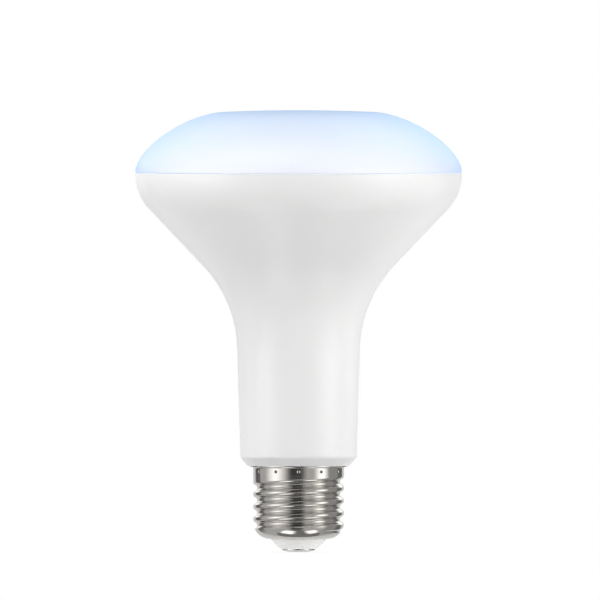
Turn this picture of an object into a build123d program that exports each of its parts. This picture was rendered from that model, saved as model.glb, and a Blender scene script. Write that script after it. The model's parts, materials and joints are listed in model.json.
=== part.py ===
from build123d import *
import os
from math import acos, asin, atan2, ceil, cos, degrees, radians, sin, tan

os.makedirs("parts", exist_ok=True)

# A reflector lamp standing on its screw cap: Z is the lamp's axis, and the origin is the contact's tip.
# Lengths are in millimetres and angles in degrees.

# Centre contact
contact_radius = 4.8
contact_land_radius = 1.6
contact_crown = 0.56
contact_rim = 0.34
shank_radius = 1.2
shank_length = 2.4
shank_clearance = 0.05

# Insulator between the contact and the screw shell
foot_ledge = 0.6
insulator_cone_height = 2.9
insulator_collar = 0.6
insulator_clearance = 0.05

# Screw shell: a right-hand round thread of seven turns to the inch under a plain collar
shell_length = 21.2
shell_wall = 0.45
lip_flat = 0.1
lip_thickness = 0.5
bore_chamfer = 2.4
turn_in_radius = 4.9
crest_radius = 13.22
thread_depth = 1.17
thread_pitch = 25.4 / 7
thread_top = 4.6
crest_trim = 0.02
fade_angle = 110
fade_clearance = 0.1
groove_overshoot = 1.0
collar_rise = 0.03
collar_length = 2.6
collar_taper = 1.6
mouth_land = 0.55
mouth_thickness = 0.25
flare_radius = 0.4

# Pointed punch marks that stake the shell to the housing
punch_count = 12
punch_radius = 0.5
punch_tip_radius = 0.08
punch_depth = 0.25
punch_overshoot = 0.1
punch_drop = 1.6

# Housing
housing_length = 85.3
rim_radius = 47.5
rim_land = 0.33
rim_round = 15.0
cone_angle = 43.5
neck_round = 36.0
neck_angle = 1.75
neck_radius = 16.9
underside_ledge = 0.5
neck_chamfer_height = 2.5
neck_edge_round = 1.2
underside_round = 0.3
spigot_clearance = 0.05
spigot_end_gap = 0.3

# Diffuser dome and its seat in the housing's rim
dome_height = 18.2
crown_rise = 0.48
shoulder_width = 26.0
shoulder_pull = 12.1
rim_pull = 6.4
rim_wall = 2.0
seat_depth = 2.0
seat_clearance = 0.1
seam_chamfer = 0.2

# Heights along the axis
foot_height = contact_crown + contact_rim
lip_height = foot_height + insulator_cone_height
shoulder_height = lip_height + shell_length
seam_height = shoulder_height + housing_length
top_height = seam_height + dome_height

# The screw shell's radii from its collar down, and the top of the insulator that fills its end
collar_radius = crest_radius + collar_rise
mouth_radius = collar_radius + flare_radius + mouth_land
root_radius = crest_radius - thread_depth
lip_radius = crest_radius - turn_in_radius - lip_flat
bore_radius = root_radius - shell_wall
bore_floor = lip_height + lip_thickness
insulator_top = bore_floor + bore_chamfer + insulator_collar

# The seat in the rim, where the dome's tongue goes
seat_radius = rim_radius - rim_wall
tongue_bottom = seam_height - seat_depth


with BuildPart() as centre_contact:
    with BuildSketch(Plane.XZ):
        with BuildLine():
            land = Line((0, 0), (contact_land_radius, 0))
            crown = TangentArc(land @ 1, (contact_radius, contact_crown), tangent=land % 1)
            Polyline(
                crown @ 1,
                (contact_radius, foot_height),
                (shank_radius, foot_height),
                (shank_radius, foot_height + shank_length),
                (0, foot_height + shank_length),
                land @ 0,
            )
        make_face()
    revolve(axis=Axis.Z)
centre_contact.part.label = "centre_contact"
export_step(centre_contact.part, "parts/centre_contact.step")


with BuildPart() as insulator:
    hole_radius = shank_radius + shank_clearance
    hole_top = foot_height + shank_length + shank_clearance
    throat_radius = lip_radius - insulator_clearance
    bowl_floor = bore_floor + insulator_clearance
    plug_radius = bore_radius - insulator_clearance
    with BuildSketch(Plane.XZ):
        with BuildLine():
            Polyline(
                (hole_radius, foot_height),
                (contact_radius + foot_ledge, foot_height),
                (throat_radius, lip_height),
                (throat_radius, bowl_floor),
                (plug_radius - bore_chamfer, bowl_floor),
                (plug_radius, bowl_floor + bore_chamfer),
                (plug_radius, insulator_top),
                (0, insulator_top),
                (0, hole_top),
                (hole_radius, hole_top),
                close=True,
            )
        make_face()
    revolve(axis=Axis.Z)
insulator.part.label = "insulator"
export_step(insulator.part, "parts/insulator.step")


# The thread's section is two equal arcs that meet on the flank, with a narrow flat rolled on the crest
virtual_crest = crest_radius + crest_trim
virtual_depth = thread_depth + crest_trim
thread_round = (virtual_depth**2 + thread_pitch**2 / 4) / (4 * virtual_depth)
flank_angle = degrees(asin(thread_pitch / 4 / thread_round))
crest_angle = degrees(acos(1 - crest_trim / 2 / thread_round))
root_centre = root_radius + thread_round
crest_centre = virtual_crest - thread_round
groove_edge = thread_pitch / 2 - thread_round * sin(radians(crest_angle))
groove_outside = crest_radius + groove_overshoot

# The groove climbs at full depth, then fades out of the metal round the back
thread_end = shoulder_height - thread_top
thread_climb = ceil((thread_end - lip_height) / thread_pitch) * thread_pitch
fade_climb = thread_pitch * fade_angle / 360
fade_cone = degrees(atan2(virtual_depth + fade_clearance, fade_climb))


with BuildPart() as screw_shell:
    collar_bottom = shoulder_height - collar_length
    mouth_height = shoulder_height - mouth_thickness
    with BuildSketch(Plane.XZ):
        with BuildLine():
            outside = FilletPolyline(
                (lip_radius, lip_height),
                (crest_radius, lip_height),
                (crest_radius, collar_bottom - collar_taper),
                (collar_radius, collar_bottom),
                (collar_radius, mouth_height),
                (mouth_radius, mouth_height),
                (mouth_radius, shoulder_height),
                radius=[turn_in_radius, 0, 0, flare_radius, 0],
            )
            Polyline(
                outside @ 1,
                (bore_radius, shoulder_height),
                (bore_radius, bore_floor + bore_chamfer),
                (bore_radius - bore_chamfer, bore_floor),
                (lip_radius, bore_floor),
                outside @ 0,
            )
        make_face()
    revolve(axis=Axis.Z)

    for start, climb, slope in (
        (thread_end - thread_climb, thread_climb, 0),
        (thread_end, fade_climb, fade_cone),
    ):
        with BuildLine():
            slant_pitch = thread_pitch / cos(radians(slope))
            Helix(slant_pitch, climb, root_radius, center=(0, 0, start), cone_angle=slope)
        with BuildSketch(Plane.XZ.shift_origin((0, 0, start))):
            with BuildLine():
                arc_size = flank_angle - crest_angle
                CenterArc((root_centre, 0), thread_round, 180 - flank_angle, 2 * flank_angle)
                upper = CenterArc((crest_centre, thread_pitch / 2), thread_round, -flank_angle, arc_size)
                lower = CenterArc((crest_centre, -thread_pitch / 2), thread_round, flank_angle, -arc_size)
                Polyline(
                    upper @ 1,
                    (groove_outside, groove_edge),
                    (groove_outside, -groove_edge),
                    lower @ 1,
                )
            make_face()
        sweep(is_frenet=True, mode=Mode.SUBTRACT)

    punch_flare = (punch_radius - punch_tip_radius) / punch_depth
    with Locations((0, 0, shoulder_height - punch_drop)):
        with PolarLocations(collar_radius - punch_depth, punch_count):
            Cone(
                punch_tip_radius,
                punch_radius + punch_overshoot * punch_flare,
                punch_depth + punch_overshoot,
                rotation=(0, 90, 0),
                align=(Align.CENTER, Align.CENTER, Align.MIN),
                mode=Mode.SUBTRACT,
            )
screw_shell.part.label = "screw_shell"
export_step(screw_shell.part, "parts/screw_shell.step")


with BuildPart() as housing:
    # The cone leaves the rim at the foot of its round, and runs in to the line of the tapered neck
    rim_corner = seam_height - rim_land - rim_round * tan(radians(cone_angle / 2))
    neck_bottom = shoulder_height + neck_chamfer_height
    cone_slope = tan(radians(cone_angle))
    neck_slope = tan(radians(neck_angle))
    cone_reach = (rim_corner - neck_bottom) * cone_slope
    neck_rise = (cone_reach - rim_radius + neck_radius) / (cone_slope - neck_slope)
    spigot_radius = bore_radius - spigot_clearance
    spigot_bottom = insulator_top + spigot_end_gap
    seat_floor = tongue_bottom - seat_clearance
    with BuildSketch(Plane.XZ):
        with BuildLine():
            outside = FilletPolyline(
                (rim_radius, seam_height - seam_chamfer),
                (rim_radius, rim_corner),
                (neck_radius + neck_rise * neck_slope, neck_bottom + neck_rise),
                (neck_radius, neck_bottom),
                (mouth_radius + underside_ledge, shoulder_height),
                (spigot_radius, shoulder_height),
                radius=[rim_round, neck_round, neck_edge_round, underside_round],
            )
            Polyline(
                outside @ 1,
                (spigot_radius, spigot_bottom),
                (0, spigot_bottom),
                (0, seat_floor),
                (seat_radius, seat_floor),
                (seat_radius, seam_height),
                (rim_radius - seam_chamfer, seam_height),
                outside @ 0,
            )
        make_face()
    revolve(axis=Axis.Z)
housing.part.label = "housing"
export_step(housing.part, "parts/housing.step")


with BuildPart() as diffuser_dome:
    tongue_radius = seat_radius - seat_clearance
    rim_bottom = seam_height + seam_chamfer
    with BuildSketch(Plane.XZ):
        with BuildLine():
            crown_edge = (rim_radius - shoulder_width, top_height - crown_rise)
            crown = TangentArc((0, top_height), crown_edge, tangent=(1, 0))
            shoulder = Bezier(
                crown @ 1,
                crown @ 1 + (crown % 1) * shoulder_pull,
                (rim_radius, rim_bottom + rim_pull),
                (rim_radius, rim_bottom),
            )
            Polyline(
                shoulder @ 1,
                (rim_radius - seam_chamfer, seam_height),
                (tongue_radius, seam_height),
                (tongue_radius, tongue_bottom),
                (0, tongue_bottom),
                crown @ 0,
            )
        make_face()
    revolve(axis=Axis.Z)
diffuser_dome.part.label = "diffuser_dome"
export_step(diffuser_dome.part, "parts/diffuser_dome.step")
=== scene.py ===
import bpy
import json
from math import cos, pi, radians, sin
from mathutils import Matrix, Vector

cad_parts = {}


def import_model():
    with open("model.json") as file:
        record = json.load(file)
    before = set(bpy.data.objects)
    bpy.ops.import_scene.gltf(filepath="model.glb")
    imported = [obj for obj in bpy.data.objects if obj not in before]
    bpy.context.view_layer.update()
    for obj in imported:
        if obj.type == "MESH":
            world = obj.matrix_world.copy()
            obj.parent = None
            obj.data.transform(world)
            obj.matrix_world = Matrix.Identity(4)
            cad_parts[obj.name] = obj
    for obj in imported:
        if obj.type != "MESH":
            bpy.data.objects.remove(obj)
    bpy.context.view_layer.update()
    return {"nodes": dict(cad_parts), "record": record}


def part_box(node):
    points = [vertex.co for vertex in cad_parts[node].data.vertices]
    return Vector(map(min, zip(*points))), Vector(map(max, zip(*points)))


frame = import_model()
nodes = frame["nodes"]
screw_cap = next(mount for mount in frame["record"]["mounts"] if mount["name"] == "screw_cap")
scene = bpy.context.scene

# Lengths are in metres, angles in degrees and the powers of lamps in watts

# The photograph's frame: a level, long-lens view, measured at the bulb's axis
FRAME_WIDTH = 0.17452
FRAME_CENTRE = Vector((0.00041, 0.0, 0.0733))
VIEW_DOWN = 0.45
CAMERA_DISTANCE = 3.0

# The fine grain that a mould leaves on plastic
MOULD_GRAIN = 0.0003

# The cap's mount is on the collar, whose punch marks get painted shade over these depths under its skin.
# The painted shade ends over these drops below the mount, so the thread stays bright.
COLLAR_RADIUS = screw_cap["dims"]["r_mm"] / 1000.0
COLLAR_HEIGHT = screw_cap["pos_m"][2]
PUNCH_SHADE_DEPTHS = (0.00013, 0.00005)
PUNCH_SHADE_DROPS = (0.0006, 0.0004)

# Most values of a noise texture lie in this range
NOISE_RANGE = (0.3, 0.7)

# A colour mix node's two colours and its result, by number, because other sockets share their names
MIX_FIRST = 6
MIX_SECOND = 7
MIX_RESULT = 2


def combine(tree, operation, *values):
    """The result of a Math node on values that are sockets or plain numbers."""
    maths = tree.nodes.new("ShaderNodeMath")
    maths.operation = operation
    for socket, value in zip(maths.inputs, values):
        if isinstance(value, float):
            socket.default_value = value
        else:
            tree.links.new(value, socket)
    return maths.outputs["Value"]


def distance_from_origin(tree, place):
    length = tree.nodes.new("ShaderNodeVectorMath")
    length.operation = "LENGTH"
    tree.links.new(place, length.inputs[0])
    return length.outputs["Value"]


def smooth_range(tree, value, reach, ends):
    """The first end up to reach[0], the last end from reach[1] on, and a smooth passage between."""
    ramp = tree.nodes.new("ShaderNodeMapRange")
    ramp.interpolation_type = "SMOOTHSTEP"
    for socket, number in zip(("From Min", "From Max", "To Min", "To Max"), (*reach, *ends)):
        ramp.inputs[socket].default_value = number
    tree.links.new(value, ramp.inputs["Value"])
    return ramp.outputs["Result"]


class Surface:
    """A material with one Principled shader, and patterns that are fixed to the object."""

    def __init__(self, name, **values):
        self.material = bpy.data.materials.new(name)
        self.material.use_nodes = True
        self.tree = self.material.node_tree
        self.nodes = self.tree.nodes
        self.links = self.tree.links
        self.shader = self.nodes["Principled BSDF"]
        for socket, value in values.items():
            self.shader.inputs[socket.replace("_", " ")].default_value = value

    def place(self, stretch=(1.0, 1.0, 1.0)):
        """The object's own coordinates, scaled along each axis."""
        coordinates = self.nodes.new("ShaderNodeTexCoord")
        mapping = self.nodes.new("ShaderNodeMapping")
        mapping.inputs["Scale"].default_value = stretch
        self.links.new(coordinates.outputs["Object"], mapping.inputs["Vector"])
        return mapping.outputs["Vector"]

    def noise(self, size, detail=2.0, stretch=(1.0, 1.0, 1.0)):
        """Noise whose spots are about this size."""
        texture = self.nodes.new("ShaderNodeTexNoise")
        texture.inputs["Scale"].default_value = 1.0 / size
        texture.inputs["Detail"].default_value = detail
        self.links.new(self.place(stretch), texture.inputs["Vector"])
        return texture.outputs["Fac"]

    def height(self):
        return distance_from_origin(self.tree, self.place((0.0, 0.0, 1.0)))

    def radius(self):
        return distance_from_origin(self.tree, self.place((1.0, 1.0, 0.0)))

    def colour(self, value, first, last):
        """The base colour goes from first to last with the value."""
        ramp = self.nodes.new("ShaderNodeValToRGB")
        ramp.color_ramp.elements[0].color = (*first, 1.0)
        ramp.color_ramp.elements[1].color = (*last, 1.0)
        self.links.new(value, ramp.inputs["Fac"])
        self.links.new(ramp.outputs["Color"], self.shader.inputs["Base Color"])

    def paint_shade(self, masks, tint):
        """The base colour is multiplied by tint where both masks are 1."""
        mix = self.nodes.new("ShaderNodeMix")
        mix.data_type = "RGBA"
        mix.blend_type = "MULTIPLY"
        self.links.new(combine(self.tree, "MULTIPLY", *masks), mix.inputs["Factor"])
        base = self.shader.inputs["Base Color"]
        self.links.new(base.links[0].from_socket, mix.inputs[MIX_FIRST])
        mix.inputs[MIX_SECOND].default_value = (*tint, 1.0)
        self.links.new(mix.outputs[MIX_RESULT], base)

    def roughness(self, noise, first, last):
        """The roughness goes from first to last with the noise."""
        value = smooth_range(self.tree, noise, NOISE_RANGE, (first, last))
        self.links.new(value, self.shader.inputs["Roughness"])

    def relief(self, value, depth):
        """A fine relief of this depth."""
        bump = self.nodes.new("ShaderNodeBump")
        bump.inputs["Distance"].default_value = depth
        self.links.new(value, bump.inputs["Height"])
        self.links.new(bump.outputs["Normal"], self.shader.inputs["Normal"])

    def paint(self, piece):
        piece.data.materials.clear()
        piece.data.materials.append(self.material)


def white_plastic():
    """Satin moulded plastic: faint clouds in the white, and the fine grain of the mould."""
    surface = Surface(
        "white_plastic",
        Specular_IOR_Level=0.4,
        Sheen_Weight=0.9,
        Sheen_Roughness=0.5,
    )
    clouds = surface.noise(size=0.02)
    surface.colour(clouds, first=(0.785, 0.785, 0.783), last=(0.81, 0.81, 0.807))
    grain = surface.noise(size=MOULD_GRAIN, detail=3.0)
    surface.roughness(grain, first=0.15, last=0.21)
    surface.relief(grain, depth=0.0000001)
    return surface


def milky_plastic():
    """Light-scattering plastic: a white painted lighter up to the crown, where less lamp light falls, with
    a cool bloom seen edge on.
    """
    surface = Surface(
        "milky_plastic",
        Specular_IOR_Level=0.9,
        Sheen_Weight=0.9,
        Sheen_Roughness=0.8,
        Sheen_Tint=(0.09, 0.38, 0.82, 1.0),
    )
    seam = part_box("housing")[1][2]
    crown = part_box("diffuser_dome")[1][2]
    # Painted light: the base colour is lighter up to the crown, making up for the dimmer light that falls
    # there
    painted_crown_light = smooth_range(surface.tree, surface.height(), (seam, crown), (0.0, 1.0))
    surface.colour(painted_crown_light, first=(0.945, 0.905, 0.9), last=(1.0, 0.985, 0.965))
    grain = surface.noise(size=MOULD_GRAIN, detail=3.0)
    surface.roughness(grain, first=0.28, last=0.36)
    surface.relief(grain, depth=0.000001)
    return surface


def nickel():
    """Bright plated sheet, with the fine lines that the rolls leave round it, and painted shade in the
    punch marks.
    """
    surface = Surface("nickel", Metallic=1.0)
    clouds = surface.noise(size=0.006)
    surface.colour(clouds, first=(0.65, 0.627, 0.595), last=(0.675, 0.653, 0.622))
    # Painted shade: the base colour darkens in the punch recesses on the collar and fades out below them
    shade_radii = [COLLAR_RADIUS - depth for depth in PUNCH_SHADE_DEPTHS]
    in_punch_shade = smooth_range(surface.tree, surface.radius(), shade_radii, (1.0, 0.0))
    shade_heights = [COLLAR_HEIGHT - drop for drop in PUNCH_SHADE_DROPS]
    on_collar = smooth_range(surface.tree, surface.height(), shade_heights, (0.0, 1.0))
    surface.paint_shade((in_punch_shade, on_collar), tint=(0.35, 0.34, 0.33))
    lines = surface.noise(size=0.004, detail=4.0, stretch=(1.0, 1.0, 40.0))
    surface.roughness(lines, first=0.05, last=0.1)
    surface.relief(lines, depth=0.0000012)
    return surface


def tinned_metal():
    """Tinned contact: paler and softer than the plate round it."""
    surface = Surface("tinned_metal", Metallic=1.0)
    clouds = surface.noise(size=0.002)
    surface.colour(clouds, first=(0.8, 0.79, 0.77), last=(0.86, 0.85, 0.83))
    grain = surface.noise(size=0.0006, detail=4.0)
    surface.roughness(grain, first=0.22, last=0.36)
    surface.relief(grain, depth=0.00001)
    return surface


def glazed_insulator():
    """White vitreous ring with a smooth, slightly uneven face."""
    surface = Surface("white_insulator", Specular_IOR_Level=0.2)
    clouds = surface.noise(size=0.004)
    surface.colour(clouds, first=(0.865, 0.865, 0.85), last=(0.885, 0.885, 0.875))
    ripple = surface.noise(size=0.0015)
    surface.roughness(ripple, first=0.28, last=0.34)
    surface.relief(ripple, depth=0.000001)
    return surface


milky_plastic().paint(nodes["diffuser_dome"])
white_plastic().paint(nodes["housing"])
nickel().paint(nodes["screw_shell"])
glazed_insulator().paint(nodes["insulator"])
tinned_metal().paint(nodes["centre_contact"])

# Studio. Azimuths are about the bulb's axis: 0 is the camera's side, and + is to its right.
WORLD_LEVEL = 0.61
CARD_STEPS = 48
CARD_MIDDLE = 0.5
WALL_HEIGHT = 2.0
WALL_RADIUS = 1.2
FLAG_HEIGHT = 0.9
LEVEL_REACH = (1.5, 1.5)

# The table, just under the tip. FLOOR_CLEAR is the share of it that reflections see through.
FLOOR_RADIUS = 1.0
FLOOR_STEPS = 96
FLOOR_DROP = 0.00002
FLOOR_ALBEDO = 0.35
FLOOR_CLEAR = 0.9

# The table's painted pool of light near the tip, its glow further out that is left off near the bulb as a
# painted shade ring, and the white that the camera sees, which leaves the shadow under the tip: distances
# from the axis, and the values at the two distances
PAINTED_POOL_REACH = (0.008, 0.025)
PAINTED_POOL_GLOW = (0.4, 0.0)
SHADE_RING_REACH = (0.03, 0.12)
SHADE_RING_GLOW = (0.0, 0.08)
SHADOW_REACH = (0.004, 0.018)
FLOOR_WHITE = (0.75, 1.0)


def studio_point(azimuth, distance, height):
    turn = radians(azimuth)
    return Vector((distance * sin(turn), -distance * cos(turn), height))


def link_object(name, data):
    made = bpy.data.objects.new(name, data)
    scene.collection.objects.link(made)
    return made


def softbox(name, azimuth, distance, height, tilt, size, power):
    """A soft lamp that reflections don't show. Tilted by 90 it faces the axis, and by 0 it faces down."""
    data = bpy.data.lights.new(name, "AREA")
    data.shape = "RECTANGLE"
    data.size, data.size_y = size
    data.energy = power
    lamp = link_object(name, data)
    lamp.location = studio_point(azimuth, distance, height)
    lamp.rotation_euler = (radians(tilt), 0.0, radians(azimuth))
    lamp.visible_camera = False
    lamp.visible_glossy = False


def bare_material(name):
    """A new material without nodes."""
    material = bpy.data.materials.new(name)
    material.use_nodes = True
    material.node_tree.nodes.clear()
    return material


def blend(tree, share, first, second):
    """The first shader turns into the second as the share goes from 0 to 1."""
    mix = tree.nodes.new("ShaderNodeMixShader")
    for socket, value in zip(mix.inputs, (share, first, second)):
        tree.links.new(value, socket)
    return mix.outputs["Shader"]


def set_output(tree, shader):
    out = tree.nodes.new("ShaderNodeOutputMaterial")
    tree.links.new(shader, out.inputs["Surface"])


def card_material(name, level, edge):
    """A card of one brightness that fades out over its edges; edge is the share of its width that fades."""
    material = bare_material(name)
    tree = material.node_tree
    place = tree.nodes.new("ShaderNodeUVMap")
    split = tree.nodes.new("ShaderNodeSeparateXYZ")
    tree.links.new(place.outputs["UV"], split.inputs["Vector"])
    fades = []
    for axis in ("X", "Y"):
        inward = combine(tree, "PINGPONG", split.outputs[axis], CARD_MIDDLE)
        fades.append(smooth_range(tree, inward, (0.0, edge), (0.0, 1.0)))
    glow = tree.nodes.new("ShaderNodeEmission")
    glow.inputs["Strength"].default_value = level
    clear = tree.nodes.new("ShaderNodeBsdfTransparent")
    solid = combine(tree, "MULTIPLY", *fades)
    set_output(tree, blend(tree, solid, clear.outputs["BSDF"], glow.outputs["Emission"]))
    return material


def add_card(name, points, faces, places, level, edge):
    """A card that only glossy surfaces see. Each point has a place on it, from 0 to 1 each way."""
    mesh = bpy.data.meshes.new(name)
    mesh.from_pydata(points, [], faces)
    layer = mesh.uv_layers.new()
    for loop, corner in zip(mesh.loops, layer.data):
        corner.uv = places[loop.vertex_index]
    mesh.materials.append(card_material(name, level, edge))
    piece = link_object(name, mesh)
    piece.visible_camera = False
    piece.visible_diffuse = False
    piece.visible_transmission = False
    piece.visible_shadow = False


def card(name, azimuth, spread, radius, height, level, edge):
    """A curved card as far below the table's level as above it; spread is its width in degrees."""
    points = []
    places = []
    for step in range(CARD_STEPS + 1):
        across = step / CARD_STEPS
        turn = azimuth + spread * (across - CARD_MIDDLE)
        points.append(studio_point(turn, radius, -height))
        points.append(studio_point(turn, radius, height))
        places.append((across, 0))
        places.append((across, 1))
    faces = [(2 * i, 2 * i + 2, 2 * i + 3, 2 * i + 1) for i in range(CARD_STEPS)]
    add_card(name, points, faces, places, level, edge)


def level_card(name, centre, reach, level, edge):
    """A flat, level card; reach is half its width and depth."""
    places = ((0, 0), (1, 0), (1, 1), (0, 1))
    points = []
    for across, back in places:
        offset = Vector(((2 * across - 1) * reach[0], (2 * back - 1) * reach[1], 0.0))
        points.append(Vector(centre) + offset)
    add_card(name, points, [(0, 1, 2, 3)], places, level, edge)


def floor_material():
    """A clear table with a painted pool of light under the tip and a painted shade ring round it: the metal
    sees the lamps under it, the camera white and the shadow.
    """
    material = bare_material("table")
    tree = material.node_tree
    path = tree.nodes.new("ShaderNodeLightPath")
    place = tree.nodes.new("ShaderNodeTexCoord")
    distance = distance_from_origin(tree, place.outputs["Object"])
    matt = tree.nodes.new("ShaderNodeBsdfDiffuse")
    matt.inputs["Color"].default_value = (FLOOR_ALBEDO, FLOOR_ALBEDO, FLOOR_ALBEDO, 1.0)
    glow = tree.nodes.new("ShaderNodeEmission")
    # Painted light: a pool of glow under the tip, and a glow further out that is left off near the bulb as
    # a painted shade ring
    painted_pool = smooth_range(tree, distance, PAINTED_POOL_REACH, PAINTED_POOL_GLOW)
    shade_ring_glow = smooth_range(tree, distance, SHADE_RING_REACH, SHADE_RING_GLOW)
    tree.links.new(combine(tree, "ADD", painted_pool, shade_ring_glow), glow.inputs["Strength"])
    lit = tree.nodes.new("ShaderNodeAddShader")
    tree.links.new(matt.outputs["BSDF"], lit.inputs[0])
    tree.links.new(glow.outputs["Emission"], lit.inputs[1])
    glass = tree.nodes.new("ShaderNodeBsdfTransparent")
    white = tree.nodes.new("ShaderNodeEmission")
    clear = combine(tree, "MULTIPLY", path.outputs["Is Glossy Ray"], FLOOR_CLEAR)
    whiteness = smooth_range(tree, distance, SHADOW_REACH, FLOOR_WHITE)
    seen = combine(tree, "MULTIPLY", path.outputs["Is Camera Ray"], whiteness)
    table_top = blend(tree, clear, lit.outputs["Shader"], glass.outputs["BSDF"])
    set_output(tree, blend(tree, seen, table_top, white.outputs["Emission"]))
    return material


def floor():
    mesh = bpy.data.meshes.new("table")
    rim = [studio_point(360.0 * i / FLOOR_STEPS, FLOOR_RADIUS, -FLOOR_DROP) for i in range(FLOOR_STEPS)]
    mesh.from_pydata(rim, [], [tuple(range(FLOOR_STEPS))])
    mesh.materials.append(floor_material())
    link_object("table", mesh)


def world():
    """White to the camera and in reflections, and an even, dimmer light on all else."""
    made = bpy.data.worlds.new("studio")
    scene.world = made
    made.use_nodes = True
    tree = made.node_tree
    path = tree.nodes.new("ShaderNodeLightPath")
    seen = path.outputs["Is Camera Ray"]
    for ray in ("Is Glossy Ray", "Is Transmission Ray"):
        seen = combine(tree, "MAXIMUM", seen, path.outputs[ray])
    strength = tree.nodes.new("ShaderNodeMapRange")
    strength.inputs["To Min"].default_value = WORLD_LEVEL
    strength.inputs["To Max"].default_value = 1.0
    tree.links.new(seen, strength.inputs["Value"])
    background = tree.nodes["Background"]
    background.inputs["Color"].default_value = (1.0, 1.0, 1.0, 1.0)
    tree.links.new(strength.outputs["Result"], background.inputs["Strength"])


world()
floor()

# Lamps beside, above and behind the bulb, and two small ones low behind it for the neck's foot
softbox("left_lamp", azimuth=-69.0, distance=0.6, height=0.08, tilt=90.0, size=(0.42, 0.15), power=1.86)
softbox("right_lamp", azimuth=58.0, distance=0.6, height=0.08, tilt=90.0, size=(0.5, 0.15), power=2.3)
softbox("top_lamp", azimuth=-60.0, distance=0.35, height=1.0, tilt=0.0, size=(0.6, 0.6), power=3.8)
softbox("back_lamp", azimuth=180.0, distance=0.9, height=0.1, tilt=90.0, size=(0.5, 0.2), power=2.0)
softbox("right_fill", azimuth=128.0, distance=0.14, height=0.03, tilt=90.0, size=(0.1, 0.06), power=0.045)
softbox("left_fill", azimuth=-130.0, distance=0.14, height=0.03, tilt=90.0, size=(0.1, 0.06), power=0.022)

# What the metal and the gloss reflect from above and below
level_card("ceiling", centre=(0.0, 0.0, WALL_HEIGHT), reach=LEVEL_REACH, level=0.05, edge=0.02)
level_card("rear_canopy", centre=(0.0, 0.75, 0.26), reach=(0.8, 0.44), level=1.35, edge=0.3)
level_card("ground", centre=(0.0, 0.0, -WALL_HEIGHT), reach=LEVEL_REACH, level=0.17, edge=0.02)
level_card("front_table", centre=(-0.1, -0.85, -0.42), reach=(0.45, 0.35), level=0.75, edge=0.3)
level_card("left_under_lamp", centre=(-0.29, -0.21, -0.8), reach=(0.25, 0.28), level=2.0, edge=0.3)
level_card("right_under_lamp", centre=(0.4, -0.21, -0.8), reach=(0.27, 0.28), level=2.0, edge=0.3)

# What they reflect from the sides: the walls, then darker cards in front of them, then the lamps' faces
card("wall", azimuth=0.0, spread=300.0, radius=WALL_RADIUS, height=WALL_HEIGHT, level=0.5, edge=0.04)
card("back_card", azimuth=180.0, spread=80.0, radius=WALL_RADIUS, height=WALL_HEIGHT, level=0.75, edge=0.1)
card("camera_card", azimuth=-6.0, spread=62.0, radius=1.1, height=3.0, level=0.055, edge=0.35)
card("right_shade", azimuth=104.0, spread=64.0, radius=1.08, height=WALL_HEIGHT, level=0.33, edge=0.25)
card("left_flag", azimuth=-127.0, spread=36.0, radius=1.05, height=FLAG_HEIGHT, level=0.13, edge=0.3)
card("right_flag", azimuth=131.0, spread=36.0, radius=1.05, height=FLAG_HEIGHT, level=0.15, edge=0.3)
card("left_softbox", azimuth=-61.0, spread=72.0, radius=0.6, height=0.55, level=1.55, edge=0.5)
card("right_softbox", azimuth=61.0, spread=50.0, radius=0.6, height=0.55, level=1.8, edge=0.5)

lens = bpy.data.cameras.new("camera")
lens.type = "ORTHO"
lens.ortho_scale = FRAME_WIDTH
camera = link_object("camera", lens)
down = radians(VIEW_DOWN)
camera.location = FRAME_CENTRE + CAMERA_DISTANCE * Vector((0.0, -cos(down), sin(down)))
camera.rotation_euler = (pi / 2 - down, 0.0, 0.0)
scene.camera = camera
scene.view_settings.view_transform = "Standard"
